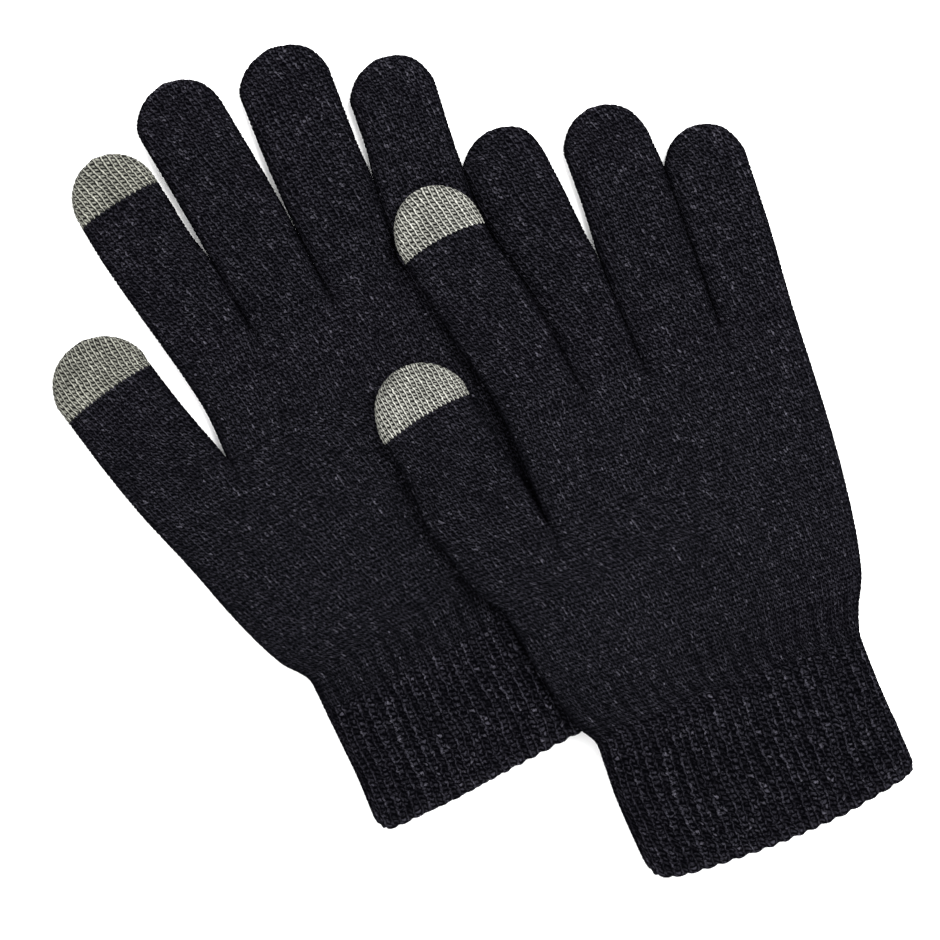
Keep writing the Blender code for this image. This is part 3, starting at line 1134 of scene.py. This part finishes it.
        # Painted shade: the colour goes towards the dark gap colour as far as the mesh's shade map says.
        painted_shade = add_node(tree, "ShaderNodeAttribute", attribute_name=PAINTED_SHADE_MAP).outputs["Fac"]
        painted_shade = sums("MULTIPLY", painted_shade, self.painted_shade)
        colour = add_node(tree, "ShaderNodeMix", {0: painted_shade, 6: glinted, 7: linear(self.gap)},
                          data_type="RGBA").outputs[2]

        height = sums("MULTIPLY_ADD", fibre, 0.5, legs)
        relief = {"Height": height, "Distance": self.BUMP_DEPTH * MM, "Strength": 0.6}
        bump = add_node(tree, "ShaderNodeBump", relief)
        shader = add_node(tree, "ShaderNodeBsdfPrincipled", {
            "Base Color": colour, "Normal": bump.outputs[0], "Roughness": self.roughness,
            "Specular IOR Level": self.specular,
        })
        add_node(tree, "ShaderNodeOutputMaterial", {"Surface": shader.outputs[0]})
        return made

    def dress(self, item: bpy.types.Object) -> None:
        """Gives a piece this yarn."""
        item.data.materials.clear()
        item.data.materials.append(self.material())


# Spun acrylic, dyed black: matt and a little fuzzy, so its legs are only just paler than its gaps.
BLACK_KNIT = Yarn("black acrylic knit", "black_knit", gap="#020203", leg="#302f36", glint="#5a5861",
                  left_leg=0.95, right_leg=0.8, patchiness=0.6, grain=1.0, stray=0.7, painted_shade=0.9,
                  glints=0.55, roughness=0.95, specular=0.0)
# Acrylic spun with silver-plated nylon: pale, with bright left legs and dark gaps.
PALE_CONDUCTIVE = Yarn("pale conductive knit", "pale_grey_knit", gap="#060605", leg="#b6b6ad",
                       glint="#c6c6be", left_leg=1.0, right_leg=0.56, patchiness=0.3, grain=0.5,
                       stray=0.45, painted_shade=0.3, glints=0.3, roughness=0.7, specular=0.05)
# The same yarn a shade darker, as painted shade on the glove beneath, so its legs stand out less from the
# gaps.
SHADED_CONDUCTIVE = Yarn("shaded conductive knit", "dark_grey_knit", gap="#080807", leg="#9d9d92",
                       glint="#a9a99f", left_leg=1.0, right_leg=0.6, patchiness=0.3, grain=0.5,
                       stray=0.45, painted_shade=0.3, glints=0.3, roughness=0.7, specular=0.05)
# Overlock thread is thinner and tighter than the knit, so it shows a closer and more even surface.
HEM_THREAD = Yarn("overlock hem thread", "hem_thread", gap="#030304", leg="#323138", glint="#62606a",
                  left_leg=0.9, right_leg=1.0, patchiness=0.6, grain=0.8, stray=0.6, painted_shade=0.7,
                  glints=0.4, roughness=0.95, specular=0.0)
# Elastic covered with fine textured nylon: a plain dark thread inside the cuff's wall.
COVERED_ELASTIC = Yarn("covered elastic", "elastic_thread", gap="#060606", leg="#303030",
                       glint="#606060", left_leg=1.0, right_leg=1.0, patchiness=0.2, grain=0.3,
                       stray=0.2, painted_shade=0.0, glints=0.1, roughness=0.7, specular=0.2)


@dataclass
class Digit:
    """A thumb or finger: base tube, end tube and, on two of them, a conductive cap.

    knuckle is the distance from its root to its knuckle in millimetres. The tubes meet a little
    before the knuckle, at the share CUT of that distance.
    """

    CUT = 0.6
    ROOT_BEND_START = 0.3
    ROOT_BEND_SHARE = 0.35
    KNUCKLE_BEND = 5.0
    CLIMB = 18.0
    DROP = 26.0
    CAP_RELIEF = 0.34

    name: str
    left: Edge
    right: Edge
    tip: tuple[float, float]
    knuckle: float
    cap_line: Line | None = None
    cap_arch: float = 0.0
    pinned_root: bool = False
    raised: float | None = None

    def middle(self, line: Line) -> np.ndarray:
        """Middle of the digit where a line crosses it, in drawn millimetres."""
        return (self.left.meet(line.y0, line.slope) + self.right.meet(line.y0, line.slope)) / 2

    def bend(self, piece: bpy.types.Object, line: Line
             ) -> None:
        """Bakes a piece's place into its mesh. It works out the fold line's middle and direction, but does
        nothing more with them.

        Args:
            piece: the piece.
            line: the fold line.
        """
        spot, across = self.middle(line) - np.array(DRAWN_MIDDLE), line.normal()
        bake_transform(piece)

    def build(self, glove: "Glove", root: Line, wales: tuple[float, float], root_along: float) -> None:
        """Builds the digit's pieces; the cap, and the base where the root is pinned, are joined to their
        bodies.

        Args:
            glove: the glove that it belongs to.
            root: the line where it starts.
            wales: first and last wale across its upper side.
            root_along: distance from the hem to its root.
        """
        name = f"{glove.name}_{self.name}"
        hand = f"{glove.name}_hand"
        end_body = f"{name}_end"
        knuckle, cut = root.moved(self.knuckle), root.moved(self.knuckle * self.CUT)
        common = {
            "wales": wales, "bed": glove.bed, "raised": self.raised, "raised_from": root_along,
            "raised_run": self.CLIMB if self.raised else self.DROP, "skew_from": glove.wrist_along,
        }
        fine = Detail.FINE.value[2]

        rows = rows_between(self.left, self.right, root, cut, fine, FABRIC, root_along)
        base = KnitTube(f"{name}_base_knit", rows, detail=Detail.FINE, **common).build()
        BLACK_KNIT.dress(base)
        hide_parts(f"{name}_base")
        if self.pinned_root:
            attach(base, hand)
        else:
            self.bend(base, root)

        at_cut = float(rows.along[-1])
        across, rise = self.right.end - self.left.end
        slope = float(rise / across)
        last = Line(float(self.left.end[1] - slope * self.left.end[0]), slope)
        if self.cap_line is None:
            rows = rows_between(self.left, self.right, cut, last, fine, FABRIC, at_cut)
            dome = dome_rows(self.left, self.right, self.tip, fine, FABRIC, float(rows.along[-1]))
            end = KnitTube(f"{name}_end_knit", rows.joined(dome), detail=Detail.FINE, closed=True,
                           **common).build()
        else:
            rows = rows_between(self.left, self.right, cut, self.cap_line, fine, FABRIC, at_cut)
            seam = Seam(float(rows.along[-1]), self.cap_arch)
            end = KnitTube(f"{name}_end_knit", rows, detail=Detail.FINE, seams=(seam,), **common).build()
            close = Detail.CAP.value[2]
            rows = rows_between(self.left, self.right, self.cap_line, last, close, FABRIC, seam.along)
            dome = dome_rows(self.left, self.right, self.tip, close, FABRIC, float(rows.along[-1]))
            cap = KnitTube(f"{name}_cap_knit", rows.joined(dome), detail=Detail.CAP, seams=(seam,),
                           closed=True, relief=self.CAP_RELIEF, **common).build()
            glove.cap_yarn.dress(cap)
            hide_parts(f"{name}_cap")
            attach(cap, end_body)
        BLACK_KNIT.dress(end)
        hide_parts(f"{name}_end")
        self.bend(end, knuckle)
        LOG.info("%s: built", name)


@dataclass
class CuffTube(KnitTube):
    """A tube of the cuff, whose hem runs in a shallow curve."""

    hem: tuple[tuple[float, float], ...] = ((0.0, 0.0), (1.0, 0.0))

    def hem_curve_at(self, share: np.ndarray) -> np.ndarray:
        """How far the hem's curve lies from a straight line, at shares of the cuff's width."""
        stops = np.array(self.hem)
        return Edge(*((y, x) for x, y in stops)).at(share)


@dataclass
class Glove:
    """One glove: its outline, the lines that divide it, and its digits.

    A wale is about 1.3 mm wide in the palm and 2.3 mm in the cuff, whose ribs are one raised wale
    and one sunk one. Lengths are in millimetres. CUFF_RIB is how much deeper the ribs are in the
    cuff, up to where they fade, and WRIST_RIB how deep they are on up to the palm. WRIST_FADE and
    SETTLING, where the fabric eases into the palm's height, are distances beyond the wrist.
    """

    RIBS = 19
    WALES = 91
    CUFF_WALES = 38
    HEM_LENGTH = 2.6
    HEM_ROWS = 6
    HEM_ROLL = 0.9
    SCALLOP = 0.3
    CUFF_RIB = 0.32
    CUFF_FADE = (24.0, 40.0)
    WRIST_RIB = 0.3
    WRIST_FADE = (4.0, 30.0)
    SETTLING = (-12.0, 8.0)
    THUMB_CREASE = 14.0
    FINGER_CREASE = 12.0

    name: str
    left: Edge
    thumb_side: Edge
    palm_side: Edge
    right: Edge
    hem: Line
    wrist: Line
    crotch: Line
    fork: Line
    hem_curve: tuple[tuple[float, float], ...]
    thumb: Digit
    fingers: tuple[Digit, ...]
    cap_yarn: Yarn
    bed: Bed
    wrist_along: float = 42.0
    far_layer_drop: float = 0.0

    def ride(self, piece: bpy.types.Object, node: str, yarn: Yarn) -> None:
        """Dresses a piece of the hand, and sets it in place of its node."""
        yarn.dress(piece)
        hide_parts(f"{self.name}_{node}")
        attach(piece, f"{self.name}_hand")

    def hem_share(self, along: np.ndarray) -> np.ndarray:
        """How much of the hem's curve rows at these distances from the hem still have."""
        return 1 - smooth(along / self.wrist_along)

    def build_cuff(self) -> None:
        """Builds the ribbed cuff and its overlocked hem."""
        detail = Detail.CUFF
        seam_line = self.hem.moved(self.HEM_LENGTH)
        common = {"wales": (0.0, float(self.CUFF_WALES)), "detail": detail, "bed": self.bed,
                  "lay": CUFF_FABRIC, "skew_from": self.wrist_along, "hem": self.hem_curve,
                  "far_layer_drop": self.far_layer_drop, "scallop": self.SCALLOP,
                  "rib_wales": self.CUFF_WALES / self.RIBS}
        rows = rows_between(self.left, self.right, self.hem, seam_line, self.HEM_ROWS, CUFF_FABRIC, 0.0)
        hem = CuffTube(f"{self.name}_cuff_hem_knit", rows, rib_depth=self.rib_depth(rows.along),
                       hem_shift=self.hem_share(rows.along), rolled_start=self.HEM_ROLL, **common)
        self.ride(hem.build(), "cuff_hem", HEM_THREAD)

        rows = rows_between(self.left, self.right, seam_line, self.wrist, detail.value[2], CUFF_FABRIC,
                            float(rows.along[-1]))
        self.settle(rows)
        rib = CuffTube(f"{self.name}_cuff_rib_knit", rows, rib_depth=self.rib_depth(rows.along),
                       hem_shift=self.hem_share(rows.along), **common)
        self.ride(rib.build(), "cuff_rib", BLACK_KNIT)
        LOG.info("%s: cuff built", self.name)

    def settle(self, rows: Rows) -> None:
        """Eases the fabric from the cuff's firmer height and sides into the palm's."""
        start, end = self.SETTLING
        share = smooth((rows.along - self.wrist_along - start) / (end - start))
        rows.height = CUFF_FABRIC.height + (FABRIC.height - CUFF_FABRIC.height) * share
        rows.side = CUFF_FABRIC.side + (FABRIC.side - CUFF_FABRIC.side) * share

    def rib_depth(self, along: np.ndarray) -> np.ndarray:
        """Depth of the furrows between ribs: full at the hem, gone a little above the wrist."""
        near = falling(along, self.CUFF_FADE)
        far = falling(along - self.wrist_along, self.WRIST_FADE)
        return self.CUFF_RIB * near + self.WRIST_RIB * far

    def build_palm(self) -> tuple[list[float], float, float]:
        """Builds the lower and upper palm.

        Returns:
            The wale at each side of each digit, thumb first, then the distance from the hem to the
            crotch and to the fork.
        """
        detail = Detail.WIDE
        per_course = detail.value[2]
        start = self.wrist_along
        crotch_spot = self.shared(self.thumb_side, self.palm_side, self.crotch)
        rows = rows_between(self.left, self.right, self.wrist, self.crotch, per_course, FABRIC, start)
        self.settle(rows)
        tube = KnitTube(f"{self.name}_palm_lower_knit", rows, wales=(0.0, float(self.WALES)), detail=detail,
                        bed=self.bed, lobes=Lobes((tuple(crotch_spot),), self.THUMB_CREASE),
                        rib_depth=self.rib_depth(rows.along), rib_wales=self.WALES / self.RIBS,
                        skew_from=self.wrist_along)
        self.ride(tube.build(), "palm_lower", BLACK_KNIT)
        crotch_along = float(rows.along[-1])
        thumb_width = float(np.linalg.norm(crotch_spot - rows.left[-1]))
        thumb_wales = self.WALES * thumb_width / float(rows.width[-1])

        creases = [self.shared(a.right, b.left, self.fork) for a, b in zip(self.fingers, self.fingers[1:])]
        rows = rows_between(self.palm_side, self.right, self.crotch, self.fork, per_course, FABRIC,
                            crotch_along)
        tube = KnitTube(f"{self.name}_palm_upper_knit", rows, wales=(thumb_wales, float(self.WALES)),
                        detail=detail, bed=self.bed, skew_from=self.wrist_along,
                        lobes=Lobes(tuple(map(tuple, creases)), self.FINGER_CREASE))
        self.ride(tube.build(), "palm_upper", BLACK_KNIT)
        fork_along = float(rows.along[-1])
        shares = [float(np.linalg.norm(c - rows.left[-1]) / rows.width[-1]) for c in creases]
        stops = [0.0, thumb_wales, *(thumb_wales + (self.WALES - thumb_wales) * s for s in shares)]
        LOG.info("%s: palm built", self.name)
        return [*stops, float(self.WALES)], crotch_along, fork_along

    @staticmethod
    def shared(one: Edge, other: Edge, line: Line) -> np.ndarray:
        """The point on a line midway between two tubes' edges."""
        return (one.meet(line.y0, line.slope) + other.meet(line.y0, line.slope)) / 2

    def build(self) -> None:
        """Builds the whole glove."""
        self.build_cuff()
        wales, crotch_along, fork_along = self.build_palm()
        self.thumb.build(self, self.crotch, (wales[0], wales[1]), crotch_along)
        for i, finger in enumerate(self.fingers):
            finger.build(self, self.fork, (wales[i + 1], wales[i + 2]), fork_along)
        for number in (1, 2, 3):
            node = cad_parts[f"{self.name}_cuff_elastic_{number}"]
            node.data.materials.clear()
            node.data.materials.append(COVERED_ELASTIC.material())


def left_glove() -> Glove:
    """The glove that lies beneath, drawn in millimetres.

    Returns:
        The glove, ready to build.
    """
    outer = Edge((-63.9, -90.5), (-64.4, -77.4), (-65.4, -67.2), (-66.7, -55.0), (-67.8, -44.5),
                 (-74.6, -35.8), (-82.7, -19.6), (-90.3, -0.1), (-100.3, 24.0), (-105.8, 40.0),
                 (-110.2, 54.5), (-112.2, 61.0))
    thumb_side = Edge((-68.65, 28.1), (-71.1, 35.0), (-74.9, 45.0), (-78.3, 55.0), (-81.6, 65.6))
    palm_side = Edge((-68.55, 28.1), (-69.5, 42.0), (-71.0, 50.0), (-73.6, 60.5), (-79.2, 80.5),
                     (-84.4, 100.6), (-86.6, 112.2))
    right = Edge((24.0, -79.2), (22.5, -62.0), (19.8, -43.0), (24.0, -25.0), (27.0, -8.0), (28.4, 15.0),
                 (29.2, 41.0), (29.4, 73.6), (29.6, 95.0), (30.5, 116.0))
    return Glove(
        name="under",
        left=outer,
        thumb_side=thumb_side,
        palm_side=palm_side,
        right=right,
        hem=Line(-82.3, 0.13),
        wrist=Line(-45.6, 0.13),
        crotch=Line(37.2, 0.13),
        fork=Line(69.8, 0.13),
        hem_curve=((0.0, 0.0), (0.012, -2.4), (0.04, -4.2), (0.08, -4.8), (0.4, -5.2), (0.66, -5.0),
                   (0.96, -4.2), (1.0, 0.0)),
        thumb=Digit("thumb", outer, thumb_side, (-98.0, 77.7), 22.0, Line(87.0, 0.287), 0.8),
        fingers=(
            Digit("index", palm_side, Edge((-48.4, 63.5), (-53.0, 88.6), (-55.3, 95.0), (-58.6, 110.0),
                                           (-60.2, 117.3)),
                  (-76.1, 128.9), 36.0, Line(129.0, 0.223), 0.8),
            Digit("middle", Edge((-48.3, 63.5), (-52.6, 88.6), (-56.4, 110.0), (-60.2, 130.0)),
                  Edge((-22.5, 66.9), (-26.5, 96.5), (-28.8, 110.0), (-32.6, 130.0)), (-47.9, 143.2), 36.0),
            Digit("ring", Edge((-22.4, 66.9), (-25.6, 97.0), (-26.4, 110.0), (-27.0, 130.0)),
                  Edge((1.6, 70.0), (2.5, 91.0), (1.6, 108.0), (1.4, 130.0)), (-14.1, 142.1), 36.0),
            Digit("little", Edge((1.7, 70.0), (2.5, 91.0), (3.9, 104.0), (4.1, 116.0)), right,
                  (15.6, 127.8), 25.0, pinned_root=True),
        ),
        cap_yarn=SHADED_CONDUCTIVE,
        bed=Bed(),
        wrist_along=36.7,
        far_layer_drop=0.9,
    )


def right_glove(beneath: Glove) -> Glove:
    """The glove on top, drawn in millimetres.

    Args:
        beneath: the glove that it partly lies on.

    Returns:
        The glove, ready to build.
    """
    outer = Edge((9.2, -130.3), (7.7, -106.0), (7.9, -92.0), (3.7, -83.8), (-1.5, -64.7), (-5.5, -44.0),
                 (-10.5, -37.0), (-14.6, -24.0), (-18.4, -12.0), (-19.2, 4.0), (-22.0, 18.4))
    thumb_side = Edge((16.65, -24.0), (14.9, -14.8), (9.4, 13.9), (7.3, 23.4))
    palm_side = Edge((16.75, -24.0), (14.6, 12.6), (9.2, 37.8), (4.3, 59.8), (2.4, 69.0))
    right = Edge((97.0, -130.3), (96.5, -120.0), (95.7, -110.1), (95.2, -100.0), (95.0, -90.0),
                 (97.5, -80.2), (100.1, -75.0), (102.0, -70.2), (105.8, -50.3), (108.3, -24.0),
                 (110.1, 16.0), (111.8, 40.0), (112.6, 63.3))
    on_top = 8.3
    return Glove(
        name="over",
        left=outer,
        thumb_side=thumb_side,
        palm_side=palm_side,
        right=right,
        hem=Line(-130.3, 0.0),
        wrist=Line(-88.3, 0.0),
        crotch=Line(-24.0, 0.0),
        fork=Line(12.1, 0.035),
        hem_curve=((0.0, -0.8), (0.009, -3.6), (0.027, -5.6), (0.092, -7.8), (0.2, -8.7), (0.42, -9.1),
                   (0.69, -7.7), (0.82, -5.7), (0.93, -3.7), (0.985, -2.0), (1.0, -0.4)),
        thumb=Digit("thumb", outer, thumb_side, (-8.0, 36.2), 30.0, Line(20.2, 0.203), 1.4, raised=on_top),
        fingers=(
            Digit("index", palm_side, Edge((39.9, 13.5), (34.7, 46.4), (30.0, 66.0), (29.3, 71.9)),
                  (14.7, 85.2), 38.0, Line(64.9, 0.139), 1.6, raised=on_top),
            Digit("middle", Edge((40.0, 13.5), (34.9, 45.0), (30.6, 66.0), (29.5, 76.0), (29.5, 86.0)),
                  Edge((60.5, 14.2), (59.0, 48.0), (58.0, 55.0), (56.2, 72.0), (54.7, 83.5)), (40.4, 95.4),
                  38.0, raised=0.0),
            Digit("ring", Edge((60.6, 14.2), (59.5, 48.0), (60.2, 65.0), (60.3, 78.6)),
                  Edge((86.9, 15.1), (87.3, 45.0), (87.5, 66.0), (86.7, 78.6)), (71.8, 91.5), 38.0,
                  raised=0.0),
            Digit("little", Edge((87.0, 15.1), (87.4, 45.0), (87.6, 63.3)), right, (98.2, 75.5), 28.0,
                  raised=0.0),
        ),
        cap_yarn=PALE_CONDUCTIVE,
        bed=Bed(rise=on_top, edge=beneath.right),
        wrist_along=42.0,
    )


@dataclass(frozen=True)
class Studio:
    """A plain white table under soft light, seen from straight above.

    Lengths are in metres unless named otherwise, the lamp's power in watts and the turn in degrees.
    """

    table_size: float = 6.0
    table_colour: str = "#fafafa"
    table_roughness: float = 0.8
    sky_strength: float = 2.2
    lamp_power: float = 22.0
    lamp_size: float = 0.5
    lamp_place: tuple[float, float, float] = (0.5, 0.3, 1.1)
    lens_mm: float = 100.0
    sensor_mm: float = 36.0
    sight: float = 10.0
    eye: tuple[float, float, float] = (0.00005, -0.0019225, 0.8038)
    turn: float = -20.0

    def build(self) -> None:
        """Adds the table, the lights and the camera."""
        scene = bpy.context.scene
        scene.view_settings.view_transform = "Standard"
        half = self.table_size / 2
        mesh = bpy.data.meshes.new("table")
        corners = [(-half, -half, 0), (half, -half, 0), (half, half, 0), (-half, half, 0)]
        mesh.from_pydata(corners, [], [(0, 1, 2, 3)])
        table = bpy.data.objects.new("table", mesh)
        scene.collection.objects.link(table)
        # Matt laminate: an even white that shows soft shadows and reflects nothing clearly.
        laminate = bpy.data.materials.new("matt white laminate")
        laminate.use_nodes = True
        shader = laminate.node_tree.nodes["Principled BSDF"]
        shader.inputs["Base Color"].default_value = linear(self.table_colour)
        shader.inputs["Roughness"].default_value = self.table_roughness
        mesh.materials.append(laminate)

        sky = bpy.data.worlds.new("studio")
        sky.use_nodes = True
        background = sky.node_tree.nodes["Background"]
        background.inputs["Color"].default_value = (1, 1, 1, 1)
        background.inputs["Strength"].default_value = self.sky_strength
        scene.world = sky

        lamp = bpy.data.lights.new("softbox", "AREA")
        lamp.shape = "SQUARE"
        lamp.size = self.lamp_size
        lamp.energy = self.lamp_power
        softbox = bpy.data.objects.new("softbox", lamp)
        softbox.location = self.lamp_place
        x, y, z = self.lamp_place
        softbox.rotation_euler = (math.atan2(math.hypot(x, y), z), 0, math.atan2(x, -y))
        scene.collection.objects.link(softbox)

        lens = bpy.data.cameras.new("camera")
        lens.lens = self.lens_mm
        lens.sensor_width = self.sensor_mm
        lens.clip_end = self.sight
        camera = bpy.data.objects.new("camera", lens)
        camera.location = self.eye
        camera.rotation_euler = (0, 0, math.radians(self.turn))
        scene.collection.objects.link(camera)
        scene.camera = camera
        LOG.info("studio: built")


def main() -> None:
    """Builds both gloves and the studio, in order."""
    logging.basicConfig(level=logging.INFO, format="%(name)s %(message)s")
    beneath = left_glove()
    beneath.build()
    right_glove(beneath).build()
    Studio().build()


if __name__ == "__main__":
    main()
